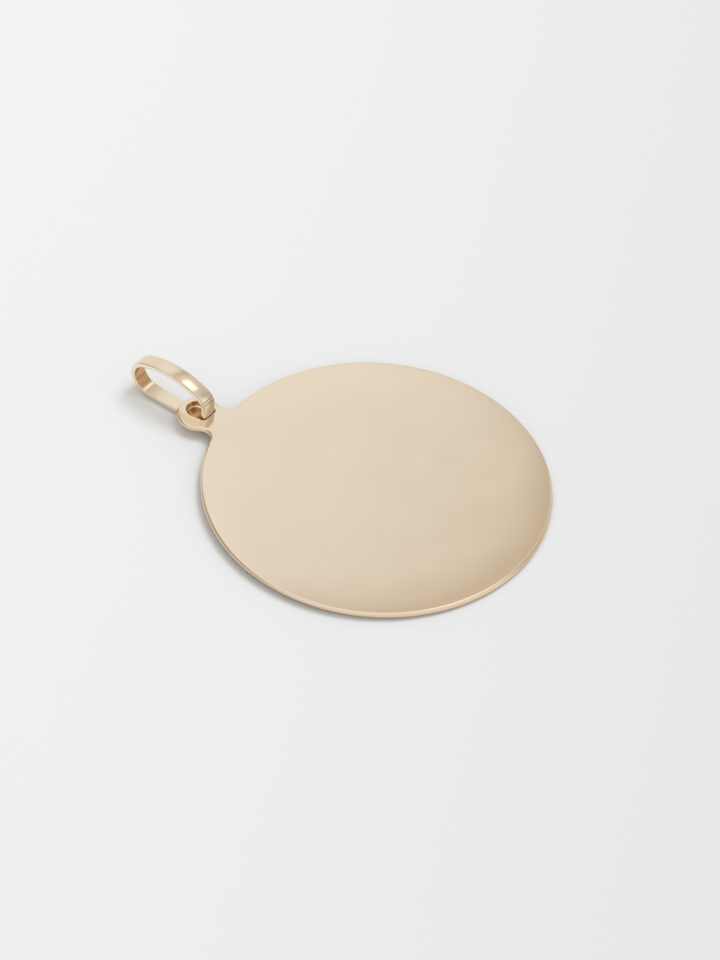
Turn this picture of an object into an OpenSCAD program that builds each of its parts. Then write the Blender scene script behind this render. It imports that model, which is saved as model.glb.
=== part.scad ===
// A plain round pendant that lies face up, with its oval bail threaded through the eye.
// +Z is up, +Y points from the disc to the bail. Millimetres.

/* [Disc] */
// Diameter of the disc
disc_d = 25; // [18:0.5:32]
// Thickness of the disc at its flat middle
disc_t = 0.5; // [0.4:0.05:0.8]
// Width of the band along the rim where the face rolls off
roll_w = 2; // [1:0.1:4]
// How far the face has dropped where the roll-off ends
roll_drop = 0.05; // [0.03:0.01:0.12]
// Width of the small bevel round the face
face_bevel = 0.08; // [0.04:0.01:0.12]
// Width of the small bevel round the underside
back_bevel = 0.06; // [0.04:0.01:0.1]

/* [Eye] */
// Radius of the ring that stands out from the rim
eye_r = 1.64; // [1.6:0.02:2]
// From the rim to the middle of the eye's hole
eye_reach = 1.8; // [1.6:0.05:2]
// Width of the hole, across the pendant
hole_w = 1.6; // [1.56:0.02:1.64]
// Length of the hole, from its round end to its straight end beside the disc
hole_l = 1.94; // [1.9:0.02:2]
// From the ring's middle outwards to the centre of the hole's round end
hole_out = 0.26; // [0.22:0.02:0.3]
// Radius of the two corners of the hole's straight end
hole_corner = 0.24; // [0.16:0.02:0.3]
// How far the hole lies off the pendant's middle line
hole_shift = 0.2; // [0.16:0.02:0.22]
// Radius of the fillets between the ring and the rim
neck_fillet = 0.85; // [0.6:0.05:1.2]

/* [Bail] */
// Length of the bail over all
bail_l = 6.9; // [6.5:0.05:9]
// Outer radius of the bend that the chain runs through
chain_bend_r = 1.57; // [1.5:0.01:1.62]
// Outer radius of the bend that hangs in the eye
eye_bend_r = 1.5; // [1.45:0.01:1.55]
// Outer radius of the arched upper limb
upper_limb_r = 6.7; // [6:0.1:12]
// Outer radius of the flatter lower limb
lower_limb_r = 16.5; // [12:0.5:20]
// Thickness of the strip
strip_t = 0.42; // [0.35:0.01:0.45]
// Width of the strip
strip_w = 1.16; // [1:0.02:1.16]
// Width of the bevels along the strip's outer edges
strip_bevel = 0.06; // [0.03:0.01:0.1]

/* [Rest] */
// How far the bail is turned in the eye, away from the pendant's middle line
bail_turn = 10.4; // [0:0.2:11]
// How far the bail's outer end is raised
bail_pitch = 0.5; // [0:0.1:2]
// From the line of the hole's straight end to the widest part of the bail's bend
end_gap = 0.04; // [0.03:0.01:0.1]
// How far the bail's bend lies off the pendant's middle line, at the hole's straight end
bail_shift = 0.028; // [0.02:0.002:0.06]
// Gap under the eye, where it lies on the lower limb
seat_gap = 0.03; // [0.02:0.01:0.1]

/* [Hidden] */
gold = "#e2d3b5";
$fn = 96;
// Fineness of the long flat arc of the roll-off
roll_steps = 360;
// A cutting body starts this far below the disc, and reaches as far above it
cut_over = 1;
// How far the shape that bounds the limbs' ends reaches past the bends
ends_reach = 3;

disc_r = disc_d / 2;
flat_r = disc_r - roll_w;
roll_r = (roll_w * roll_w + roll_drop * roll_drop) / (2 * roll_drop);
rim_t = disc_t - roll_drop;

// The eye: its centre, and the fillet circles that touch both the ring and the rim
eye_y = disc_r + eye_reach;
fillet_hub_r = disc_r + neck_fillet;
fillet_ring_r = eye_r + neck_fillet;
fillet_y = (fillet_hub_r ^ 2 - fillet_ring_r ^ 2 + eye_y ^ 2) / (2 * eye_y);
fillet_x = sqrt(fillet_hub_r ^ 2 - fillet_y ^ 2);
neck_low = fillet_y * disc_r / fillet_hub_r;
neck_high = fillet_y + (eye_y - fillet_y) * neck_fillet / fillet_ring_r;
hole_r = hole_w / 2;
outer_y = eye_y + hole_out;
inner_y = outer_y + hole_r - hole_l;

// The bail's outline in its own plane: the eye bend's centre is the origin, u runs to the chain bend
bend_span = bail_l - chain_bend_r - eye_bend_r;

// Along u and v, the centre of a limb of radius r; side is 1 for the upper limb and -1 for the lower
function limb_u(r) =
    ((r - eye_bend_r) ^ 2 - (r - chain_bend_r) ^ 2 + bend_span ^ 2) / (2 * bend_span);
function limb_v(r, side) = -side * sqrt((r - eye_bend_r) ^ 2 - limb_u(r) ^ 2);

// The direction, seen from a limb's centre, in which the limb meets a bend at u
function meets(r, side, u) = atan2(-limb_v(r, side), u - limb_u(r));

// The bail stands on its lower limb, straight under that limb's centre
limb_height = limb_v(lower_limb_r, -1) * cos(bail_pitch) + limb_u(lower_limb_r) * sin(bail_pitch);
limb_reach = limb_u(lower_limb_r) * cos(bail_pitch) - limb_v(lower_limb_r, -1) * sin(bail_pitch);
bail_z = lower_limb_r - limb_height;

// It is turned about a point on the hole's straight end, and its bend's centre lies this far out
bend_reach = end_gap + eye_bend_r;

// The eye lies on the limb where the strip's edge comes under the hole's round end
edge_slope = tan(bail_turn);
edge_x = bail_shift - hole_shift + strip_w / 2 / cos(bail_turn) + (outer_y - inner_y) * edge_slope;
edge_run = sqrt((1 + edge_slope ^ 2) * hole_r ^ 2 - edge_x ^ 2) - edge_x * edge_slope;
seat_y = outer_y + edge_run / (1 + edge_slope ^ 2);
seat_run = bend_reach + limb_reach - (seat_y - inner_y) / cos(bail_turn);
seat_z = lower_limb_r - sqrt((lower_limb_r - strip_t) ^ 2 - seat_run ^ 2);

// The disc is tipped about the far end of its underside until the eye clears the limb
tip_y = disc_r - back_bevel;
tip_angle = asin((seat_z + seat_gap) / (tip_y + seat_y));

// The box of the whole, along Y, so that the origin is under its middle
far_y = -disc_r - rim_t * sin(tip_angle);
near_y = inner_y + (bend_reach + bend_span * cos(bail_pitch) + chain_bend_r) * cos(bail_turn)
    + strip_w / 2 * sin(bail_turn);
mid_y = (far_y + near_y) / 2;

module disc_profile() {
    difference() {
        union() {
            square([flat_r, disc_t]);
            intersection() {
                translate([flat_r, 0]) square([roll_w, disc_t]);
                translate([flat_r, disc_t - roll_r]) circle(roll_r, $fn = roll_steps);
            }
        }
        translate([disc_r, rim_t]) rotate(45) square(face_bevel * sqrt(2), center = true);
        translate([disc_r, 0]) rotate(45) square(back_bevel * sqrt(2), center = true);
    }
}

module neck() {
    difference() {
        translate([-fillet_x, neck_low]) square([2 * fillet_x, neck_high - neck_low]);
        for (side = [-1, 1]) {
            translate([side * fillet_x, fillet_y]) circle(neck_fillet);
        }
    }
}

// The hole in plan: a round end away from the disc, and a straight end with rounded corners
module hole_plan() {
    corner_x = hole_r - hole_corner;
    corner_y = inner_y + hole_corner;
    translate([0, outer_y]) circle(hole_r);
    translate([-hole_r, corner_y]) square([hole_w, outer_y - corner_y]);
    translate([-corner_x, inner_y]) square([2 * corner_x, hole_corner]);
    for (side = [-1, 1]) {
        translate([side * corner_x, corner_y]) circle(hole_corner);
    }
}

module eye_hole() {
    translate([hole_shift, 0, -cut_over])
        linear_extrude(disc_t + 2 * cut_over) hole_plan();
}

// The disc with its eye, flat on its underside
module flat_disc() {
    difference() {
        union() {
            rotate_extrude() disc_profile();
            linear_extrude(rim_t) neck();
            translate([0, eye_y, 0]) cylinder(r = eye_r, h = rim_t);
        }
        eye_hole();
    }
}

module disc() {
    color(gold)
        translate([0, -mid_y - tip_y, 0])
            rotate([tip_angle, 0, 0])
                translate([0, tip_y, 0]) flat_disc();
}

// A round plate of radius r, bevelled along its edges, with its middle on the loop's plane
module bevelled_plate(r, width, bevel) {
    half = width / 2;
    rotate_extrude() polygon([
        [0, -half],
        [r - bevel, -half],
        [r, bevel - half],
        [r, half - bevel],
        [r - bevel, half],
        [0, half],
    ]);
}

// A point past the outline, straight out from where a limb meets a bend
function corner(r, side, bend_u, bend_r) =
    let (at = meets(r, side, bend_u)) [
        bend_u + (bend_r + ends_reach) * cos(at),
        (bend_r + ends_reach) * sin(at)
    ];

// The space inside the limbs' outlines and between the bends' ends
module between_bends(inset, width, bevel) {
    intersection() {
        translate([limb_u(upper_limb_r), limb_v(upper_limb_r, 1), 0])
            bevelled_plate(upper_limb_r - inset, width, bevel);
        translate([limb_u(lower_limb_r), limb_v(lower_limb_r, -1), 0])
            bevelled_plate(lower_limb_r - inset, width, bevel);
        linear_extrude(width + 2 * cut_over, center = true) polygon([
            corner(upper_limb_r, 1, 0, eye_bend_r),
            corner(upper_limb_r, 1, bend_span, chain_bend_r),
            [bend_span, 0],
            corner(lower_limb_r, -1, bend_span, chain_bend_r),
            corner(lower_limb_r, -1, 0, eye_bend_r),
            [0, 0],
        ]);
    }
}

module oval_plate(inset, width, bevel) {
    union() {
        bevelled_plate(eye_bend_r - inset, width, bevel);
        translate([bend_span, 0, 0]) bevelled_plate(chain_bend_r - inset, width, bevel);
        between_bends(inset, width, bevel);
    }
}

// The closed loop, lying in its own plane
module strip_loop() {
    difference() {
        oval_plate(0, strip_w, strip_bevel);
        oval_plate(strip_t, strip_w + 2 * cut_over, strip_bevel);
    }
}

module bail() {
    color(gold)
        translate([bail_shift, inner_y - mid_y, bail_z])
            rotate(-bail_turn)
                translate([0, bend_reach, 0])
                    rotate([bail_pitch, 0, 0])
                        rotate([90, 0, 90]) strip_loop();
}

disc();
bail();
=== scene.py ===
"""Looks of a plain gold disc pendant that lies face up, with its oval bail threaded through the eye.

Lengths in the classes are millimetres in the part's own frame: +Z is up and +Y runs from the
disc to the bail. The meshes are made in metres, in the pose in which the pendant lies.
"""

import logging
import math
from dataclasses import dataclass
from enum import Enum

import bpy
import numpy as np
from mathutils import Matrix, Vector
from mathutils.geometry import delaunay_2d_cdt


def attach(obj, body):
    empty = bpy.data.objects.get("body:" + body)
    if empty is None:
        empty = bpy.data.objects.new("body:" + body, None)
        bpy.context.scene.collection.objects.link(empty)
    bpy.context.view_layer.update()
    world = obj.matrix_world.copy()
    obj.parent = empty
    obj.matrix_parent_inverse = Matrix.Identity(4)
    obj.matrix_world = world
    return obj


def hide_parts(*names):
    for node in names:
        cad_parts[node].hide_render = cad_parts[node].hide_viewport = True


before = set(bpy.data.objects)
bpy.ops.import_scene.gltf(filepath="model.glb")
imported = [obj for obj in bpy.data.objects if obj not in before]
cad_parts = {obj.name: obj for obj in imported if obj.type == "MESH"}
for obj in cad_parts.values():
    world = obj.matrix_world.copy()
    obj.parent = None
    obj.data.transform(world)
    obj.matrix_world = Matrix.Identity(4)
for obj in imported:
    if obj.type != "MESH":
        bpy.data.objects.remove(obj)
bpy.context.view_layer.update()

logging.basicConfig(level=logging.INFO, format="%(message)s")
log = logging.getLogger("pendant")

MM = 0.001
# The Mix node's sockets for colours
MIX_LOW = 6
MIX_HIGH = 7
MIX_RESULT = 2


class Limb(Enum):
    """The two limbs of the bail, by the side of its middle on which each bulges."""

    LOWER = -1
    UPPER = 1


class Value:
    """A shader socket that takes part in arithmetic by adding Math nodes to its tree."""

    def __init__(self, graph: "Graph", socket: bpy.types.NodeSocket) -> None:
        """Wraps a socket of the graph."""
        self.graph = graph
        self.socket = socket

    def _math(self, operation: str, *terms: object) -> "Value":
        """Adds one Math node.

        Args:
            operation: the Math node's operation.
            terms: its inputs in order, wrapped sockets or numbers.

        Returns:
            The node's result.
        """
        return self.graph.node("ShaderNodeMath", {"operation": operation}, dict(enumerate(terms)))

    def __add__(self, other: object) -> "Value":
        """self + other."""
        return self._math("ADD", self, other)

    __radd__ = __add__

    def __sub__(self, other: object) -> "Value":
        """self - other."""
        return self._math("SUBTRACT", self, other)

    def __rsub__(self, other: object) -> "Value":
        """other - self."""
        return self._math("SUBTRACT", other, self)

    def __mul__(self, other: object) -> "Value":
        """self * other."""
        return self._math("MULTIPLY", self, other)

    __rmul__ = __mul__

    def above(self, level: float, softness: float) -> "Value":
        """A mask that rises from 0 to 1 across level.

        Args:
            level: the value at which the mask is one half.
            softness: the width of the rise.

        Returns:
            The mask, held between 0 and 1.
        """
        settings = {"interpolation_type": "SMOOTHSTEP"}
        sockets = {
            "Value": self,
            "From Min": level - softness / 2,
            "From Max": level + softness / 2,
        }
        return self.graph.node("ShaderNodeMapRange", settings, sockets)


class Graph:
    """A node tree that is filled by one method."""

    def __init__(self, tree: bpy.types.NodeTree) -> None:
        """Empties the tree and keeps it."""
        self.tree = tree
        tree.nodes.clear()

    def node(self, kind: str, settings: dict, sockets: dict, output: object = 0) -> Value:
        """Adds one node.

        Args:
            kind: the node's type.
            settings: the node's own properties, set before its sockets.
            sockets: input name or index to a wrapped socket, which is linked, or a plain value.
            output: name or index of the output to hand back.

        Returns:
            The chosen output, wrapped.
        """
        made = self.tree.nodes.new(kind)
        for name, value in settings.items():
            setattr(made, name, value)
        for name, value in sockets.items():
            if isinstance(value, Value):
                self.tree.links.new(value.socket, made.inputs[name])
            else:
                made.inputs[name].default_value = value
        return Value(self, made.outputs[output] if made.outputs else made.inputs[0])

    def where(self, output: str) -> Value:
        """Coordinates of the shaded place, by the name of the output."""
        return self.node("ShaderNodeTexCoord", {}, {}, output)

    def mark(self, name: str) -> Value:
        """A mask that the mesh holds, one number a vertex."""
        return self.node("ShaderNodeAttribute", {"attribute_name": name}, {}, "Fac")

    def noise(self, where: Value, scale: float, detail: float) -> Value:
        """Noise between 0 and 1.

        Args:
            where: the coordinates.
            scale: how many features go into one unit of them.
            detail: octaves.

        Returns:
            The noise's factor.
        """
        sockets = {"Vector": where, "Scale": scale, "Detail": detail}
        return self.node("ShaderNodeTexNoise", {}, sockets, "Fac")

    def dot(self, where: Value, axis: tuple) -> Value:
        """How far a vector reaches along an axis."""
        settings = {"operation": "DOT_PRODUCT"}
        return self.node("ShaderNodeVectorMath", settings, {0: where, 1: axis}, "Value")

    def mix(self, factor: object, low: object, high: object) -> Value:
        """Mixes two colours.

        Args:
            factor: 0 for low and 1 for high.
            low: a wrapped colour or a tuple of four.
            high: the same.

        Returns:
            The mixed colour.
        """
        sockets = {0: factor, MIX_LOW: low, MIX_HIGH: high}
        return self.node("ShaderNodeMix", {"data_type": "RGBA"}, sockets, MIX_RESULT)

    def bump(self, height: Value, strength: float, depth: float, normal: object = None) -> Value:
        """Relief that is too fine for the mesh.

        Args:
            height: its height between 0 and 1.
            strength: how strongly it shows.
            depth: its depth in metres.
            normal: coarser relief that it lies on, if any.

        Returns:
            The normal.
        """
        sockets = {"Strength": strength, "Distance": depth, "Height": height}
        if normal is not None:
            sockets["Normal"] = normal
        return self.node("ShaderNodeBump", {}, sockets)


@dataclass(frozen=True)
class Hairlines:
    """Fine scratches that run one way."""

    scale: float
    stretch: tuple
    turn_deg: float
    level: float
    share: float
    softness: float = 0.1

    def mask(self, graph: Graph, where: Value) -> Value:
        """The scratches as a mask.

        Args:
            graph: the material's nodes.
            where: the coordinates.

        Returns:
            The mask, no higher than this set's share.
        """
        turn = (0, 0, math.radians(self.turn_deg))
        sockets = {"Vector": where, "Scale": self.stretch, "Rotation": turn}
        drawn = graph.node("ShaderNodeMapping", {"vector_type": "TEXTURE"}, sockets)
        return graph.noise(drawn, self.scale, 1.0).above(self.level, self.softness) * self.share


@dataclass(frozen=True)
class PolishedGold:
    """Pale yellow gold with a jeweller's polish: fine hairlines, a faint waviness, softly worn
    patches, and painted shade on its edges and in its hollows.
    """

    name: str = "polished_gold"
    colour: tuple = (0.93, 0.81, 0.65, 1.0)
    colour_warm: tuple = (0.925, 0.80, 0.63, 1.0)
    # the butt seam's dark lines, and painted shade: a dark line along the strip's rounded edges
    seam_and_edge_shade_colour: tuple = (0.42, 0.33, 0.22, 1.0)
    # painted shade: an orange-brown for the hollows and the rounded rim, where the gold would mirror
    # dark surroundings
    painted_shade_colour: tuple = (0.66, 0.40, 0.2, 1.0)
    cloud_scale: float = 260.0
    cloud_detail: float = 3.0
    cloud_softness: float = 0.5
    roughness: float = 0.16
    roughness_change: float = 0.03
    hairline_roughness: float = 0.03
    seam_roughness: float = 0.2
    recess_roughness: float = 0.1
    hairs_along: Hairlines = Hairlines(26000.0, (30.0, 1.0, 1.0), 24.0, level=0.64, share=0.6)
    hairs_across: Hairlines = Hairlines(21000.0, (1.0, 24.0, 1.0), -13.0, level=0.66, share=0.4)
    hairline_bump: float = 0.03
    hairline_depth: float = 0.000004
    wave_bump: float = 0.06
    wave_depth: float = 0.0004
    wave_scale: float = 200.0

    def material(self) -> bpy.types.Material:
        """Builds the finish.

        Returns:
            A material for the disc or the bail. The mesh's mark "seam" holds the lines of the
            butt seam and a painted shade along the strip's rounded edges; the second mark holds
            painted shade in the hollows and on the rounded rim.
        """
        made = bpy.data.materials.new(self.name)
        made.use_nodes = True
        graph = Graph(made.node_tree)
        where = graph.where("Object")
        seam, painted_shade = graph.mark("seam"), graph.mark("painted_shade")
        cloud = graph.noise(where, self.cloud_scale, self.cloud_detail)
        hairs = self.hairs_along.mask(graph, where) + self.hairs_across.mask(graph, where)
        tone = graph.mix(cloud.above(0.5, self.cloud_softness), self.colour, self.colour_warm)
        # painted shade in the hollows and on the rounded rim
        inner = graph.mix(painted_shade, tone, self.painted_shade_colour)
        # the butt seam's lines, and painted shade along the strip's rounded edges
        colour = graph.mix(seam, inner, self.seam_and_edge_shade_colour)
        worn = self.roughness + (cloud - 0.5) * self.roughness_change
        dull = seam * self.seam_roughness + painted_shade * self.recess_roughness
        rough = worn + hairs * self.hairline_roughness + dull
        waves = graph.noise(where, self.wave_scale, 1.0)
        swell = graph.bump(waves, self.wave_bump, self.wave_depth)
        fine = graph.bump(1.0 - hairs, self.hairline_bump, self.hairline_depth, swell)
        sockets = {"Base Color": colour, "Metallic": 1.0, "Roughness": rough, "Normal": fine}
        shader = graph.node("ShaderNodeBsdfPrincipled", {}, sockets)
        graph.node("ShaderNodeOutputMaterial", {}, {"Surface": shader})
        return made


@dataclass(frozen=True)
class PaleFloor:
    """The smooth matt sheet that the pendant lies on, with painted shade: darker past the disc's far
    side, where the light falls off.
    """

    name: str = "pale_floor"
    colour: tuple = (0.825, 0.832, 0.83, 1.0)
    colour_shaded: tuple = (0.71, 0.719, 0.719, 1.0)
    shade_axis: tuple = (0.413, -0.911, 0.0)
    shade_middle: float = 0.012
    shade_width: float = 0.11
    cloud_scale: float = 9.0
    cloud_detail: float = 2.0
    cloud_shift: float = 0.01
    roughness: float = 0.85
    specular: float = 0.2

    def material(self) -> bpy.types.Material:
        """Builds the finish.

        Returns:
            A material for the floor.
        """
        made = bpy.data.materials.new(self.name)
        made.use_nodes = True
        graph = Graph(made.node_tree)
        where = graph.where("Object")
        cloud = graph.noise(where, self.cloud_scale, self.cloud_detail)
        drift = graph.dot(where, self.shade_axis) + (cloud - 0.5) * self.cloud_shift
        # painted shade: the sheet turns darker towards one side, as light falls off
        floor_shade = drift.above(self.shade_middle, self.shade_width)
        sockets = {
            "Base Color": graph.mix(floor_shade, self.colour, self.colour_shaded),
            "Roughness": self.roughness,
            "Specular IOR Level": self.specular,
        }
        shader = graph.node("ShaderNodeBsdfPrincipled", {}, sockets)
        graph.node("ShaderNodeOutputMaterial", {}, {"Surface": shader})
        return made


def smooth(t: np.ndarray) -> np.ndarray:
    """A ramp with soft ends.

    Args:
        t: places, of which those from 0 to 1 lie on the ramp.

    Returns:
        Heights from 0 to 1.
    """
    t = np.clip(t, 0.0, 1.0)
    return t * t * (3.0 - 2.0 * t)


def arc(centre: tuple, radius: float, start: float, end: float, step: float) -> np.ndarray:
    """Points along an arc, without its last one.

    Args:
        centre: the arc's centre.
        radius: its radius.
        start: first angle in radians.
        end: last angle in radians.
        step: rough distance between points.

    Returns:
        An array of x, y and the outward unit vector.
    """
    count = max(4, round(abs(end - start) * radius / step))
    t = np.linspace(start, end, count, endpoint=False)
    c, s = np.cos(t), np.sin(t)
    return np.stack([centre[0] + radius * c, centre[1] + radius * s, c, s], axis=1)


def unit(vectors: np.ndarray) -> np.ndarray:
    """The vectors at a length of one, one a row."""
    return vectors / np.linalg.norm(vectors, axis=1)[:, None]


def encloses(loop: np.ndarray, point: np.ndarray) -> bool:
    """Whether a closed line runs round a point.

    Args:
        loop: the line's points in order, x and y.
        point: the point's x and y.

    Returns:
        True if the point lies inside.
    """
    ahead = np.roll(loop, -1, axis=0)
    crossed = (loop[:, 1] > point[1]) != (ahead[:, 1] > point[1])
    a, b = loop[crossed], ahead[crossed]
    at = a[:, 0] + (point[1] - a[:, 1]) * (b[:, 0] - a[:, 0]) / (b[:, 1] - a[:, 1])
    return int((at > point[0]).sum()) % 2 == 1


def face_outwards(faces: list, points: np.ndarray, normals: np.ndarray) -> list:
    """Winds each face so that it looks the way its corners' normals point.

    Args:
        faces: tuples of vertex numbers.
        points: the vertices.
        normals: one normal a vertex.

    Returns:
        The same faces, turned over where that was needed.
    """
    wound = []
    for face in faces:
        a, b, c = points[face[0]], points[face[1]], points[face[2]]
        outward = normals[list(face)].sum(axis=0)
        if np.cross(b - a, c - a) @ outward < 0:
            face = tuple(reversed(face))
        wound.append(face)
    return wound


def make_mesh(
    name: str, points: np.ndarray, normals: np.ndarray, faces: list, marks: dict
) -> bpy.types.Object:
    """Makes a smooth object with its own normals.

    Args:
        name: the object's name.
        points: the vertices in millimetres.
        normals: one unit normal a vertex.
        faces: tuples of vertex numbers.
        marks: name of each mask to its numbers, one a vertex.

    Returns:
        The object, linked to the scene.
    """
    mesh = bpy.data.meshes.new(name)
    mesh.from_pydata((points * MM).tolist(), [], face_outwards(faces, points, normals))
    mesh.update()
    mesh.polygons.foreach_set("use_smooth", [True] * len(mesh.polygons))
    for mark, values in marks.items():
        layer = mesh.attributes.new(mark, "FLOAT", "POINT")
        layer.data.foreach_set("value", values.astype(np.float32))
    mesh.normals_split_custom_set_from_vertices(normals.tolist())
    made = bpy.data.objects.new(name, mesh)
    bpy.context.scene.collection.objects.link(made)
    return made


@dataclass
class EdgeRows:
    """Points of one face's rounded edges, row by row from each wall to the flat."""

    xy: list
    fall: list
    lean: list
    painted_shade_share: list
    loops: list

    def add(self, xy: np.ndarray, fall: float, lean: np.ndarray, painted_shade_share: float) -> range:
        """Adds one row.

        Args:
            xy: the row's points.
            fall: how far they lie below the face.
            lean: the sideways part of their normals.
            painted_shade_share: how much painted shade they get.

        Returns:
            The numbers of the row's points.
        """
        start = sum(len(row) for row in self.xy)
        self.xy.append(xy)
        self.fall.append(np.full(len(xy), fall))
        self.lean.append(lean)
        self.painted_shade_share.append(np.full(len(xy), painted_shade_share))
        return range(start, start + len(xy))


@dataclass
class Disc:
    """The round disc and the eye that is one with it."""

    finish: PolishedGold
    radius: float = 12.5
    sheet: float = 0.5
    edge_round: float = 0.22
    hole_round: float = 0.08
    edge_steps: int = 9
    # painted shade on the rounded rim and on the hole's walls, strongest at the wall
    rim_painted_shade: float = 0.45
    hole_painted_shade: float = 1.0
    roll_start: float = 8.4
    roll_drop: float = 0.06
    roll_power: float = 2.6
    edge_roll: float = 1.1
    edge_drop: float = 0.01
    eye_y: float = 14.3
    eye_radius: float = 1.64
    fillet: float = 0.85
    flush_past_fillet: float = 0.4
    flush_level: float = 1.7
    flush_across: float = 2.1
    flush_down: float = 2.3
    hole_x: float = 0.2
    hole_radius: float = 0.8
    hole_length: float = 1.94
    hole_out: float = 0.26
    hole_corner: float = 0.24
    hole_far_corner: float = 0.44
    hole_slant: float = 0.18
    hole_taper: float = 0.15
    tip_deg: float = 1.21412
    tip_y: float = 12.44
    shift_y: float = 3.9205
    rim_step: float = 0.1
    ring_step: float = 0.07
    curve_step: float = 0.06
    corner_step: float = 0.04
    near_side_steps: int = 14
    hole_end_steps: int = 18
    far_side_steps: int = 12
    circle_fine: float = 0.16
    circle_coarse: float = 0.42
    circle_stretch: float = 1.3
    circle_margin: float = 0.14
    circle_least: float = 0.4
    fine_before_roll: float = 1.0
    grid_step: float = 0.11
    grid_low: float = 11.9
    grid_high: float = 16.0
    clear: float = 0.05
    probe: float = 1e-4
    join: float = 1e-7

    def fillet_centre(self) -> tuple:
        """The fillet circle's centre on the right-hand side.

        Returns:
            Its x and y.
        """
        hub, ring = self.radius + self.fillet, self.eye_radius + self.fillet
        y = (hub * hub - ring * ring + self.eye_y**2) / (2 * self.eye_y)
        return math.sqrt(hub * hub - y * y), y

    def neck_top(self) -> float:
        """Where the fillets reach the ring.

        Returns:
            The place along Y.
        """
        fy = self.fillet_centre()[1]
        return fy + (self.eye_y - fy) * self.fillet / (self.eye_radius + self.fillet)

    def hole_ends(self) -> tuple:
        """Where the hole ends, along Y.

        Returns:
            The centre of its round end, and its straight end.
        """
        high = self.eye_y + self.hole_out
        return high, high + self.hole_radius - self.hole_length

    def outline(self) -> np.ndarray:
        """The outer outline, clockwise.

        Returns:
            An array of x, y and the unit vector out of the metal.
        """
        fx, fy = self.fillet_centre()
        to_hub = math.atan2(fy, fx)
        rise = math.atan2(self.eye_y - fy, fx)
        rim = arc((0, 0), self.radius, to_hub, -math.pi - to_hub, self.rim_step)
        ring = arc((0, self.eye_y), self.eye_radius, math.pi + rise, -rise, self.ring_step)
        left = arc((-fx, fy), self.fillet, -to_hub, rise, self.curve_step)
        right = arc((fx, fy), self.fillet, math.pi - rise, math.pi + to_hub, self.curve_step)
        for fillet in (left, right):
            fillet[:, 2:] *= -1
        return np.concatenate([rim, left, ring, right])

    def hole(self) -> np.ndarray:
        """The hole's outline, with its straight end slanted like the strip that hangs in it.

        Returns:
            An array of x, y and the unit vector out of the metal, into the hole.
        """
        x, r, near, far = self.hole_x, self.hole_radius, self.hole_corner, self.hole_far_corner
        high, end_y = self.hole_ends()
        near_y, far_y = end_y + near, end_y + far
        down = np.linspace(high, near_y, self.near_side_steps, endpoint=False)
        across = np.linspace(x - r + near, x + r - far, self.hole_end_steps, endpoint=False)
        up = np.linspace(far_y, high, self.far_side_steps, endpoint=False)
        quarter = math.pi / 2
        made = np.concatenate([
            arc((x, high), r, 0, math.pi, self.curve_step),
            [(x - r, y, -1.0, 0.0) for y in down],
            arc((x - r + near, near_y), near, math.pi, 3 * quarter, self.corner_step),
            [(place, end_y, 0.0, -1.0) for place in across],
            arc((x + r - far, far_y), far, 3 * quarter, 4 * quarter, self.corner_step),
            [(x + r, y, 1.0, 0.0) for y in up],
        ])
        share = np.clip((high - made[:, 1]) / (high - near_y), 0.0, 1.0)
        beside = np.clip((made[:, 0] - x) / r, 0.0, 1.0)
        made[:, 1] -= self.hole_slant * (made[:, 0] - x) * share
        made[:, 0] -= self.hole_taper * beside * share
        made[:, 2] += self.hole_slant * made[:, 3] * share**2
        made[:, 2:] = -unit(made[:, 2:])
        return made

    def face_height(self, x: np.ndarray, y: np.ndarray) -> np.ndarray:
        """Height of the face, which rolls off towards the rim but runs flush into the eye.

        Args:
            x: places across the flat disc.
            y: places along it.

        Returns:
            The heights above the underside.
        """
        r = np.hypot(x, y)
        reach = np.clip((r - self.roll_start) / (self.radius - self.roll_start), 0.0, 1.0)
        at_edge = np.clip((r - self.radius) / self.edge_roll + 1.0, 0.0, 1.0)
        drop = self.roll_drop * reach**self.roll_power + self.edge_drop * at_edge**2
        below = np.clip(self.fillet_centre()[1] + self.flush_past_fillet - y, 0.0, None)
        away = np.hypot(x / self.flush_across, below / self.flush_down)
        return self.sheet - drop * (1.0 - smooth(self.flush_level - away))

    def face_normal(self, x: np.ndarray, y: np.ndarray) -> np.ndarray:
        """Normals of the face.

        Args:
            x: places across the flat disc.
            y: places along it.

        Returns:
            One unit vector a place.
        """
        h = self.probe
        dx = (self.face_height(x + h, y) - self.face_height(x - h, y)) / (2 * h)
        dy = (self.face_height(x, y + h) - self.face_height(x, y - h)) / (2 * h)
        return unit(np.stack([-dx, -dy, np.ones_like(dx)], axis=1))

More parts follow.
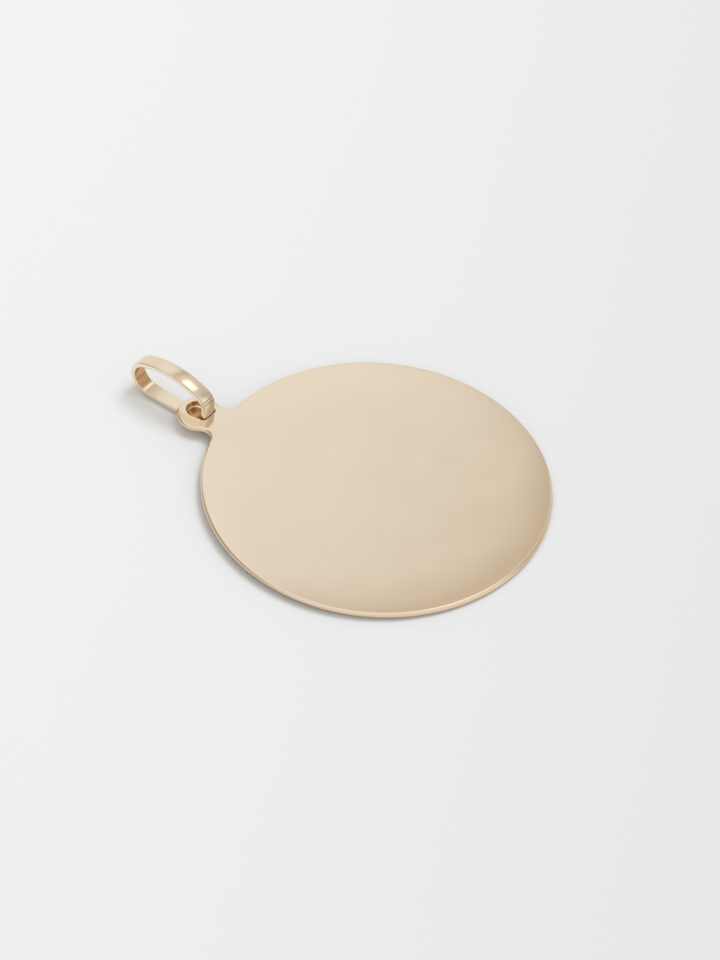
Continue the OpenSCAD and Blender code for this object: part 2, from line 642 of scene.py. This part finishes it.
    def inner_points(self, edges: np.ndarray) -> np.ndarray:
        """Points that fill the face: circles over the disc and a grid over the eye and its neck.

        Args:
            edges: every outline point, which the filling keeps clear of.

        Returns:
            An array of x and y.
        """
        found = [np.zeros((1, 2))]
        r = self.radius - self.edge_round - self.circle_margin
        while r > self.circle_least:
            is_fine = r > self.roll_start - self.fine_before_roll
            step = self.circle_fine if is_fine else self.circle_coarse
            count = max(8, round(2 * math.pi * r / (step * self.circle_stretch)))
            t = np.linspace(0, 2 * math.pi, count, False)
            found.append(np.stack([r * np.cos(t), r * np.sin(t)], axis=1))
            r -= step
        fx, fy = self.fillet_centre()
        columns = np.arange(-fx, fx, self.grid_step)
        gx, gy = np.meshgrid(columns, np.arange(self.grid_low, self.grid_high, self.grid_step))
        grid = np.stack([gx.ravel(), gy.ravel()], axis=1)
        on_ring = np.hypot(grid[:, 0], grid[:, 1] - self.eye_y) < self.eye_radius
        off_fillet = np.hypot(np.abs(grid[:, 0]) - fx, grid[:, 1] - fy) > self.fillet
        on_neck = off_fillet & (grid[:, 1] < self.neck_top())
        past_circles = np.hypot(*grid.T) > self.radius - self.edge_round - self.clear
        found.append(grid[(on_ring | on_neck) & past_circles])
        points = np.concatenate(found)
        high, low = self.hole_ends()
        beside, beyond = points[:, 0] - self.hole_x, points[:, 1] - high
        in_end = np.hypot(beside, beyond) < self.hole_radius
        past_end = points[:, 1] + self.hole_slant * beside > low
        in_run = (np.abs(beside) < self.hole_radius) & past_end & (beyond < 0)
        points = points[~in_end & ~in_run]
        gap = np.array([np.hypot(*(edges - p).T).min() for p in points])
        return points[gap > self.edge_round + self.clear]

    def edge_rows(self) -> EdgeRows:
        """The rounded edges of the rim and of the hole.

        Returns:
            Their rows, and after them one row of all the points that fill the face.
        """
        made = EdgeRows([], [], [], [], [])
        outlines = (self.outline(), self.hole())
        # each outline's rounding, and its painted shade, which fades from the wall to the flat
        kinds = ((self.edge_round, self.rim_painted_shade), (self.hole_round, self.hole_painted_shade))
        for outline, (rounding, painted_shade_share) in zip(outlines, kinds):
            place, outward = outline[:, :2], outline[:, 2:]
            rows = []
            for phi in np.linspace(0, math.pi / 2, self.edge_steps):
                c, s = math.cos(phi), math.sin(phi)
                inset = rounding * (1 - c)
                row = made.add(
                    place - inset * outward, rounding * (1 - s), c * outward, painted_shade_share * c**2
                )
                rows.append(row)
            made.loops.append(rows)
        inner = self.inner_points(np.concatenate([o[:, :2] for o in outlines]))
        made.add(inner, 0.0, np.zeros((len(inner), 2)), 0.0)
        return made

    def build(self) -> bpy.types.Object:
        """Builds the disc's mesh in its lying pose.

        Returns:
            The dressed object.
        """
        rows = self.edge_rows()
        xy, fall, lean = (np.concatenate(part) for part in (rows.xy, rows.fall, rows.lean))
        x, y = xy.T
        rise = np.sqrt(np.clip(1 - (lean**2).sum(axis=1), 0, 1))
        facing = self.face_normal(x, y) * rise[:, None]
        facing[:, :2] += lean
        top = np.column_stack([xy, self.face_height(x, y) - fall])
        back = np.column_stack([xy, fall])
        under = len(xy)
        faces, walls = [], []
        for loop in rows.loops:
            size = len(loop[0])
            ends = [(i, (i + 1) % size) for i in range(size)]
            for low, high in zip(loop[:-1], loop[1:]):
                faces += [(low[i], low[j], high[j], high[i]) for i, j in ends]
            wall = loop[0]
            walls += [(wall[i], wall[i] + under, wall[j] + under, wall[j]) for i, j in ends]
        faces += self.fill(xy, rows.loops)
        faces += walls + [tuple(i + under for i in reversed(f)) for f in faces]
        points = self.lie_down(np.concatenate([top, back]))
        normals = self.turn(np.concatenate([unit(facing), np.column_stack([lean, -rise])]))
        # painted shade on the rounded edges, on the face and the underside alike
        painted_shade_share = np.concatenate(rows.painted_shade_share * 2)
        marks = {"seam": np.zeros(len(points)), "painted_shade": painted_shade_share}
        made = make_mesh("disc_gold", points, normals, faces, marks)
        made.data.materials.append(self.finish.material())
        return made

    def fill(self, xy: np.ndarray, loops: list) -> list:
        """Triangles of the face between the innermost rows of the rim and of the hole.

        Args:
            xy: all points of the face.
            loops: the edge rows of each outline, from the outside in.

        Returns:
            Tuples of point numbers.
        """
        rim, hole = (list(rows[-1]) for rows in loops)
        keep = rim + hole + list(range(hole[-1] + 1, len(xy)))
        place = {point: i for i, point in enumerate(keep)}
        bounds = []
        for loop in (rim, hole):
            bounds += [(place[a], place[b]) for a, b in zip(loop, loop[1:] + loop[:1])]
        result = delaunay_2d_cdt([Vector(xy[i]) for i in keep], bounds, [], 0, self.join)
        source = [found[0] if found else -1 for found in result[3]]
        faces = []
        for face in result[2]:
            picked = [keep[source[i]] for i in face]
            centre = xy[picked].mean(axis=0)
            if encloses(xy[rim], centre) and not encloses(xy[hole], centre):
                faces.append(tuple(picked))
        return faces

    def turn(self, vectors: np.ndarray) -> np.ndarray:
        """Turns vectors from the flat disc into its lying pose.

        Args:
            vectors: one a row.

        Returns:
            The turned rows.
        """
        a = math.radians(self.tip_deg)
        c, s = math.cos(a), math.sin(a)
        return vectors @ np.array([[1, 0, 0], [0, c, s], [0, -s, c]])

    def lie_down(self, points: np.ndarray) -> np.ndarray:
        """Moves points from the flat disc into its lying pose.

        Args:
            points: one a row.

        Returns:
            The moved rows.
        """
        moved = self.turn(points + np.array([0, self.tip_y, 0]))
        return moved - np.array([0, self.tip_y + self.shift_y, 0])


@dataclass
class Bail:
    """The flat strip that is bent to an oval loop and hangs in the eye."""

    finish: PolishedGold
    length: float = 6.9
    chain_bend: float = 1.57
    eye_bend: float = 1.5
    upper_limb: float = 6.7
    lower_limb: float = 16.5
    strip: float = 0.42
    width: float = 1.16
    corner: float = 0.075
    corner_steps: int = 6
    crown: float = 0.034
    crown_steps: int = 15
    inner_steps: int = 9
    seam_deg: float = 151.0
    seam_reach: float = 0.13
    seam_half: float = 0.05
    seam_depth: float = 0.006
    seam_zone: float = 0.6
    seam_inner_share: float = 0.35
    outer_share: float = 0.4
    # painted shade: a dark line along the strip's rounded outer edges, on the whole upper limb and
    # strongest near the eye
    edge_line: float = 0.8
    edge_line_all: float = 0.15
    edge_shade_from: float = 0.5
    edge_shade_width: float = 2.0
    limb_rise: float = 0.5
    # painted shade on the inner face inside the eye bend and the chain bend
    eye_shade_to: float = 0.5
    eye_shade_top: float = 0.1
    eye_shade_width: float = 0.6
    chain_shade_from: float = 0.2
    chain_shade_width: float = 0.9
    upper_shoulder: float = 0.1
    lower_shoulder: float = 0.15
    eye_push: float = 0.04
    turn_deg: float = 10.4
    pitch_deg: float = 0.5
    bend_reach: float = 1.54
    pivot: tuple = (0.028, 9.4995, 1.64198)
    chain_step: float = 0.05
    limb_step: float = 0.06
    eye_step: float = 0.025
    seam_step: float = 0.007
    seam_fine: float = 0.24

    def span(self) -> float:
        """The distance between the centres of the two bends."""
        return self.length - self.chain_bend - self.eye_bend

    def limb_centre(self, limb: Limb) -> tuple:
        """The centre of a limb's arc in the loop's plane.

        Args:
            limb: which limb.

        Returns:
            Its place along the loop and across it, from the eye bend's centre.
        """
        span = self.span()
        r = self.upper_limb if limb is Limb.UPPER else self.lower_limb
        near, far = r - self.eye_bend, r - self.chain_bend
        u = (near * near - far * far + span * span) / (2 * span)
        return u, -limb.value * math.sqrt(near * near - u * u)

    def trace(self) -> np.ndarray:
        """The loop's outer line, once round.

        Returns:
            An array of the place in the loop's plane and the outward unit vector.
        """
        span = self.span()
        upper, lower = self.limb_centre(Limb.UPPER), self.limb_centre(Limb.LOWER)

        def seen(centre: tuple, u: float) -> float:
            """The direction from a limb's centre to a bend's centre."""
            return math.atan2(-centre[1], u - centre[0])

        chain_low, chain_high = seen(lower, span), seen(upper, span)
        eye_high, eye_low = seen(upper, 0.0), seen(lower, 0.0) + 2 * math.pi
        seam = math.radians(self.seam_deg)
        fine = self.seam_fine / self.eye_bend
        return np.concatenate([
            arc((span, 0), self.chain_bend, chain_low, chain_high, self.chain_step),
            arc(upper, self.upper_limb, chain_high, eye_high, self.limb_step),
            self.eye_end([
                arc((0, 0), 1.0, eye_high, seam - fine, self.eye_step),
                arc((0, 0), 1.0, seam - fine, seam + fine, self.seam_step),
                arc((0, 0), 1.0, seam + fine, eye_low, self.eye_step),
            ]),
            arc(lower, self.lower_limb, eye_low, chain_low + 2 * math.pi, self.limb_step),
        ])

    def eye_end(self, rays: list) -> np.ndarray:
        """The bend that hangs in the eye: a round one, hammered squarer above and below.

        Args:
            rays: unit arcs that give the directions of the bend's points.

        Returns:
            An array of the place in the loop's plane and the outward unit vector.
        """
        way = np.concatenate(rays)[:, 2:]
        angle = np.unwrap(np.arctan2(way[:, 1], way[:, 0]))
        first, last = angle[0], 2 * angle[-1] - angle[-2]
        radius = np.full(len(angle), self.eye_bend)
        slope = np.zeros(len(angle))
        swells = (
            (first, math.pi, self.upper_shoulder),
            (math.pi, last, self.lower_shoulder),
            (first, last, self.eye_push),
        )
        for low, high, height in swells:
            phase = math.pi * np.clip((angle - low) / (high - low), 0.0, 1.0)
            radius += height * np.sin(phase) ** 2
            slope += height * np.sin(2 * phase) * math.pi / (high - low)
        aside = np.stack([-way[:, 1], way[:, 0]], axis=1)
        outward = unit(way * radius[:, None] - aside * slope[:, None])
        return np.concatenate([way * radius[:, None], outward], axis=1)

    def section(self) -> np.ndarray:
        """The strip's rounded cross-section.

        Returns:
            An array of depth below the outer face, place across the strip, and the unit normal
            in the same terms.
        """
        r, half, deep = self.corner, self.width / 2, self.strip
        tilt = 2 * self.crown / (half - r)
        flat = half - r + r * math.sin(tilt)
        low = self.crown + r * math.cos(tilt)
        corners = (
            (low, half - r, math.pi - tilt, math.pi / 2),
            (deep - r, half - r, math.pi / 2, 0.0),
            (deep - r, r - half, 0.0, -math.pi / 2),
            (low, r - half, -math.pi / 2, tilt - math.pi),
        )
        inner = np.linspace(half - r, r - half, self.inner_steps)[1:-1]
        rows = []
        for depth, across, start, end in corners:
            for t in np.linspace(start, end, self.corner_steps):
                c, s = math.cos(t), math.sin(t)
                rows.append((depth + r * c, across + r * s, c, s))
            if end == 0.0:
                rows += [(deep, place, 1.0, 0.0) for place in inner]
        for share in np.linspace(-1, 1, self.crown_steps)[1:-1]:
            angle = tilt * share
            depth = self.crown * share * share
            rows.append((depth, flat * share, -math.cos(angle), math.sin(angle)))
        return np.array(rows)

    def place(self, local: np.ndarray, is_point: bool) -> np.ndarray:
        """Brings places or vectors from the loop's plane into the part's frame.

        Args:
            local: across, along and above, one row each.
            is_point: False for vectors.

        Returns:
            The same rows in the part's frame.
        """
        pitch = Matrix.Rotation(math.radians(self.pitch_deg), 3, "X")
        turn = Matrix.Rotation(-math.radians(self.turn_deg), 3, "Z")
        made = local @ np.array(pitch).T
        if is_point:
            made = made + np.array([0, self.bend_reach, 0])
        made = made @ np.array(turn).T
        return made + np.array(self.pivot) if is_point else made

    def seam_lines(self, path: np.ndarray) -> tuple:
        """The two lines of the butt seam, across the strip.

        Args:
            path: the loop's outer line.

        Returns:
            How far each point of the path lies in a line, and how steeply the groove falls there.
        """
        seam = math.radians(self.seam_deg)
        ray = np.array([math.cos(seam), math.sin(seam)])
        off = path[:, :2] @ np.array([-ray[1], ray[0]])
        outside = (np.abs(off) > self.seam_zone) | (path[:, :2] @ ray < 0)
        rim = (np.abs(off) - self.seam_reach) / self.seam_half
        groove = np.where(outside, 0.0, np.exp(-(rim**2)))
        return groove, -2 * rim * np.sign(off) / self.seam_half * self.seam_depth * groove

    def inner_painted_shade(self, path: np.ndarray) -> np.ndarray:
        """How much painted shade the inner face gets along the path: most in both bends.

        Args:
            path: the loop's outer line.

        Returns:
            One number a point, between 0 and 1.
        """
        u, v = path[:, 0], path[:, 1]
        below = smooth((self.eye_shade_top - v) / self.eye_shade_width)
        in_eye = smooth(self.eye_shade_to - u) * below
        return in_eye + smooth((u - self.span() - self.chain_shade_from) / self.chain_shade_width)

    def build(self) -> bpy.types.Object:
        """Builds the bail's mesh in its lying pose.

        Returns:
            The dressed object.
        """
        path, section = self.trace(), self.section()
        count, ring = len(path), len(section)
        deep, across, inward, sideways = section.T
        outer = np.clip(1 - deep / (self.strip * self.outer_share), 0, 1)
        edge = 4 * (inward * sideways) ** 2 * (inward < 0)
        points, normals, seam_and_edge_shade, painted_shade = [], [], [], []
        lines = zip(path, *self.seam_lines(path), self.inner_painted_shade(path))
        for (u, v, nu, nv), cut, fall, bend in lines:
            depth = deep + self.seam_depth * cut * outer
            points.append(np.stack([across, u - depth * nu, v - depth * nv], axis=1))
            out, lean = -inward, fall * outer
            normals.append(
                np.stack([sideways, out * nu - lean * nv, out * nv + lean * nu], axis=1)
            )
            # painted shade along the rounded edges, kept in one mark with the seam's lines
            upper = smooth(v / self.limb_rise)
            near_eye = smooth((self.edge_shade_from + self.edge_shade_width - u) / self.edge_shade_width) * upper
            edge_shade = self.edge_line_all * upper + (1 - self.edge_line_all) * near_eye
            solder = cut * (self.seam_inner_share + (1 - self.seam_inner_share) * outer)
            seam_and_edge_shade.append(np.maximum(solder, self.edge_line * edge * edge_shade))
            # painted shade on the inner face in the bends
            painted_shade.append(bend * np.clip(inward, 0, 1))
        faces = []
        for i in range(count):
            j = (i + 1) % count
            for k in range(ring):
                m = (k + 1) % ring
                faces.append((i * ring + k, j * ring + k, j * ring + m, i * ring + m))
        where = self.place(np.concatenate(points), True)
        facing = unit(self.place(np.concatenate(normals), False))
        marks = {"seam": np.concatenate(seam_and_edge_shade), "painted_shade": np.concatenate(painted_shade)}
        made = make_mesh("bail_gold", where, facing, faces, marks)
        made.data.materials.append(self.finish.material())
        return made


@dataclass(frozen=True)
class SkyBand:
    """A tone of the room's light, and where along an axis it begins."""

    colour: tuple
    start: float
    width: float
    share: float = 1.0

    def over(self, graph: Graph, reach: Value, sky: object) -> Value:
        """Lays the band over the light before it.

        Args:
            graph: the room's nodes.
            reach: how far the direction of view reaches along the axis.
            sky: the light before it.

        Returns:
            The light with the band.
        """
        mask = reach.above(self.start, self.width)
        factor = mask if self.share == 1.0 else mask * self.share
        return graph.mix(factor, sky, self.colour)


@dataclass(frozen=True)
class Softbox:
    """A square lamp that faces the pendant."""

    name: str
    place: tuple
    size: float
    power: float
    tint: tuple
    shows_in_gold: bool

    def hang(self, target: tuple) -> bpy.types.Object:
        """Hangs the lamp.

        Args:
            target: the place that it faces.

        Returns:
            The lamp.
        """
        data = bpy.data.lights.new(self.name, "AREA")
        data.shape = "SQUARE"
        data.size = self.size * MM
        data.energy = self.power
        data.color = self.tint
        lamp = bpy.data.objects.new(self.name, data)
        spot = Vector(self.place) * MM
        lamp.location = spot
        lamp.rotation_euler = (Vector(target) * MM - spot).to_track_quat("-Z", "Y").to_euler()
        lamp.visible_glossy = self.shows_in_gold
        bpy.context.scene.collection.objects.link(lamp)
        return lamp


@dataclass
class Studio:
    """The floor, the soft light and the camera."""

    floor: PaleFloor
    floor_size: float = 1600.0
    camera_place: tuple = (-155.655, -73.1025, 172.1628)
    azimuth: float = -65.6292
    elevation: float = 45.1474
    roll: float = 3.1446
    view_deg: float = 16.0
    sensor: float = 36.0
    clip_start: float = 0.01
    clip_end: float = 10.0
    target: tuple = (0.0, -2.0, 0.5)
    to_right: tuple = (-0.0812, -0.894, 0.440)
    to_far_right: tuple = (0.8, -0.6, 0.0)
    to_far: tuple = (1.0, 0.0, 0.0)
    open_to: float = 0.3
    open_width: float = 0.4
    sky_left: tuple = (0.835, 0.785, 0.74, 1.0)
    sky_low: tuple = (0.45, 0.39, 0.32, 1.0)
    bright: SkyBand = SkyBand((0.873, 0.861, 0.857, 1.0), start=-0.2, width=0.3)
    dusk: SkyBand = SkyBand((0.48, 0.39, 0.29, 1.0), start=0.09, width=0.15)
    side: SkyBand = SkyBand((0.40, 0.35, 0.29, 1.0), start=0.44, width=0.1, share=0.35)
    haze: SkyBand = SkyBand((0.73, 0.66, 0.58, 1.0), start=0.165, width=0.07)
    dark: SkyBand = SkyBand((0.52, 0.5, 0.45, 1.0), start=0.5, width=0.3)
    bright_end: SkyBand = SkyBand((1.2, 1.18, 1.15, 1.0), start=0.88, width=0.14)
    near: SkyBand = SkyBand((0.873, 0.861, 0.857, 1.0), start=-0.25, width=0.3)
    key: Softbox = Softbox(
        "key_softbox", (262.0, -50.0, 537.0), 165.0, 0.075, (1.0, 1.0, 1.0), shows_in_gold=True
    )
    fill: Softbox = Softbox(
        "fill_softbox", (260.0, -120.0, 600.0), 330.0, 1.78, (0.84, 0.92, 1.0), shows_in_gold=False
    )

    def lay_floor(self) -> bpy.types.Object:
        """Lays the floor under the pendant.

        Returns:
            The floor.
        """
        half = self.floor_size * MM / 2
        mesh = bpy.data.meshes.new("floor_sheet")
        corners = [(-half, -half, 0), (half, -half, 0), (half, half, 0), (-half, half, 0)]
        mesh.from_pydata(corners, [], [(0, 1, 2, 3)])
        made = bpy.data.objects.new("floor_sheet", mesh)
        made.data.materials.append(self.floor.material())
        bpy.context.scene.collection.objects.link(made)
        return made

    def light_room(self) -> None:
        """Lights the room: tones from left to right, a plain open side behind the camera, lamps.

        The view transform stays plain, so that no film curve lies over the light.
        """
        bpy.context.scene.view_settings.view_transform = "Standard"
        world = bpy.data.worlds.new("soft_room")
        bpy.context.scene.world = world
        world.use_nodes = True
        graph = Graph(world.node_tree)
        way = graph.where("Generated")
        right, far = graph.dot(way, self.to_right), graph.dot(way, self.to_far)
        far_right = graph.dot(way, self.to_far_right)
        sky = self.sky_left
        tones = ((self.bright, right), (self.dusk, right), (self.side, far_right))
        tones += ((self.haze, right), (self.dark, right), (self.bright_end, right))
        for band, reach in tones:
            sky = band.over(graph, reach, sky)
        behind_camera = self.near.over(graph, right, self.sky_low)
        light = graph.mix(far.above(self.open_to, self.open_width), behind_camera, sky)
        background = graph.node("ShaderNodeBackground", {}, {"Color": light})
        graph.node("ShaderNodeOutputWorld", {}, {"Surface": background})
        for lamp in (self.key, self.fill):
            lamp.hang(self.target)

    def set_camera(self) -> None:
        """Sets the camera at the photograph's angle."""
        a, e, r = (math.radians(v) for v in (self.azimuth, self.elevation, self.roll))
        back = Vector((math.sin(a) * math.cos(e), -math.cos(a) * math.cos(e), math.sin(e)))
        level = Vector((math.cos(a), math.sin(a), 0.0))
        raised = back.cross(level)
        right = level * math.cos(r) + raised * math.sin(r)
        up = raised * math.cos(r) - level * math.sin(r)
        data = bpy.data.cameras.new("camera")
        data.sensor_width = self.sensor
        data.lens = self.sensor / 2 / math.tan(math.radians(self.view_deg) / 2)
        data.clip_start = self.clip_start
        data.clip_end = self.clip_end
        made = bpy.data.objects.new("camera", data)
        turn = Matrix((right, up, back)).transposed().to_4x4()
        made.matrix_world = Matrix.Translation(Vector(self.camera_place) * MM) @ turn
        bpy.context.scene.collection.objects.link(made)
        bpy.context.scene.camera = made


def dress(piece: bpy.types.Object, node: str) -> None:
    """Ties a piece to the frame.

    Args:
        piece: the fine mesh.
        node: the CAD node that it stands for.
    """
    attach(piece, "root")
    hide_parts(node)
    log.info("%s: %d faces, stands for %s", piece.name, len(piece.data.polygons), node)


def main() -> None:
    """Builds the camera, the room and both pieces."""
    studio = Studio(floor=PaleFloor())
    studio.set_camera()
    studio.lay_floor()
    studio.light_room()
    gold = PolishedGold()
    dress(Disc(finish=gold).build(), "disc")
    dress(Bail(finish=gold).build(), "bail")
    log.info("sizes written")


if __name__ == "__main__":
    main()
